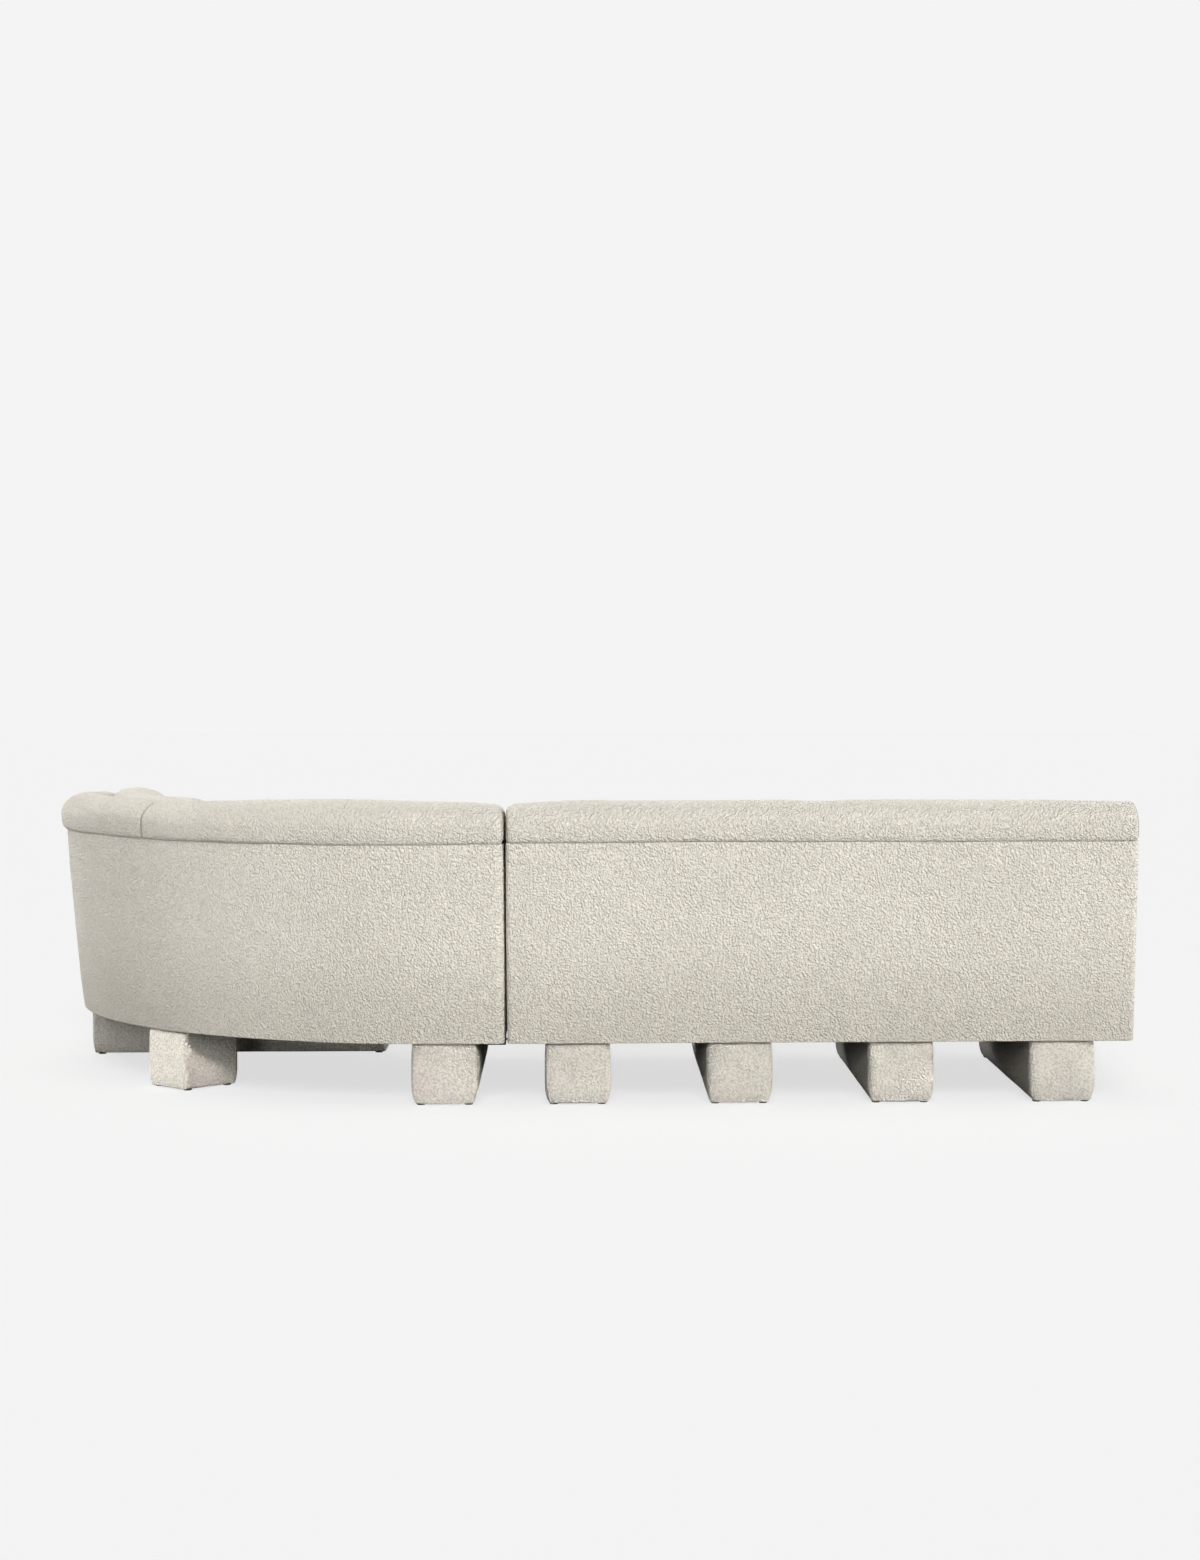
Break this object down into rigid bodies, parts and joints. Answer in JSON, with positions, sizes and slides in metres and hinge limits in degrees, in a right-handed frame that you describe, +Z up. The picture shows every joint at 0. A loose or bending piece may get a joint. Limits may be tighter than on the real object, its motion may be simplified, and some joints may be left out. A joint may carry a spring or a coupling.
{
  "type": "sectional sofa",
  "caption": "Modular upholstered sofa: straight armless module plugged to a quarter-round corner module, low back with a rolled top, padded block legs.",
  "frame": {"origin": "centre of the footprint's bounding box, on the floor", "axes": "+Z up; the back of the sofa towards +Y and the seat's front towards -Y; the straight module at -X, the corner module at +X"},
  "size_m": [2.824, 1.276, 0.75],
  "materials": {
    "boucle": "matte",
    "deck_cloth": "matte",
    "dust_cloth": "matte",
    "foam": "matte",
    "webbing": "matte",
    "hardwood": "satin",
    "leg_timber": "satin",
    "spring_steel": "satin",
    "clip_steel": "satin",
    "zinc_steel": "satin",
    "link_steel": "satin",
    "link_black": "matte",
    "glide_plastic": "satin"
  },
  "bodies": {
    "corner_module": {"corner_outer_rail": "hardwood", "corner_inner_rail": "hardwood", "corner_end_rails": "hardwood", "corner_leg_bearers": "hardwood", "corner_back_posts": "hardwood", "corner_top_rail": "hardwood", "corner_seat_springs": "spring_steel", "corner_spring_clips": "clip_steel", "corner_back_webbing": "webbing", "corner_seat_deck": "deck_cloth", "corner_dust_cover": "dust_cloth", "corner_leg_bolts": "zinc_steel", "corner_leg_tee_nuts": "zinc_steel", "corner_link_sockets": "link_black", "corner_back_panel": "boucle", "corner_end_panel_joint": "boucle", "corner_end_panel_free": "boucle", "corner_front_panel": "boucle", "corner_top_roll": "boucle", "corner_back_cushion": "boucle", "corner_leg_joint": "boucle", "corner_leg_middle": "boucle", "corner_leg_free": "boucle", "corner_leg_cores": "leg_timber", "corner_glides": "glide_plastic"},
    "straight_module": {"straight_back_rail": "hardwood", "straight_front_rail": "hardwood", "straight_end_rails": "hardwood", "straight_leg_bearers": "hardwood", "straight_back_posts": "hardwood", "straight_top_rail": "hardwood", "straight_corner_blocks": "hardwood", "straight_seat_springs": "spring_steel", "straight_spring_clips": "clip_steel", "straight_back_webbing": "webbing", "straight_seat_deck": "deck_cloth", "straight_dust_cover": "dust_cloth", "straight_leg_bolts": "zinc_steel", "straight_leg_tee_nuts": "zinc_steel", "straight_link_tongues": "link_steel", "straight_back_panel": "boucle", "straight_end_panel_joint": "boucle", "straight_end_panel_free": "boucle", "straight_front_panel": "boucle", "straight_top_roll": "boucle", "straight_back_cushion": "boucle", "straight_leg_1": "boucle", "straight_leg_2": "boucle", "straight_leg_3": "boucle", "straight_leg_4": "boucle", "straight_leg_cores": "leg_timber", "straight_glides": "glide_plastic"},
    "corner_seat": {"corner_seat_cover": "boucle", "corner_seat_foam": "foam"},
    "inner_seat": {"seat_cover_inner": "boucle", "seat_foam_inner": "foam"},
    "outer_seat": {"seat_cover_outer": "boucle", "seat_foam_outer": "foam"}
  },
  "joints": [
    {"name": "module_part", "type": "slide", "parent": "corner_module", "child": "straight_module", "axis": [-1, 0, 0], "range_m": [0, 0.25]},
    {"name": "corner_seat_lift", "type": "slide", "parent": "corner_module", "child": "corner_seat", "axis": [0, 0, 1], "range_m": [0, 0.3]},
    {"name": "inner_seat_lift", "type": "slide", "parent": "straight_module", "child": "inner_seat", "axis": [0, 0, 1], "range_m": [0, 0.3]},
    {"name": "outer_seat_lift", "type": "slide", "parent": "straight_module", "child": "outer_seat", "axis": [0, 0, 1], "range_m": [0, 0.3]}
  ]
}
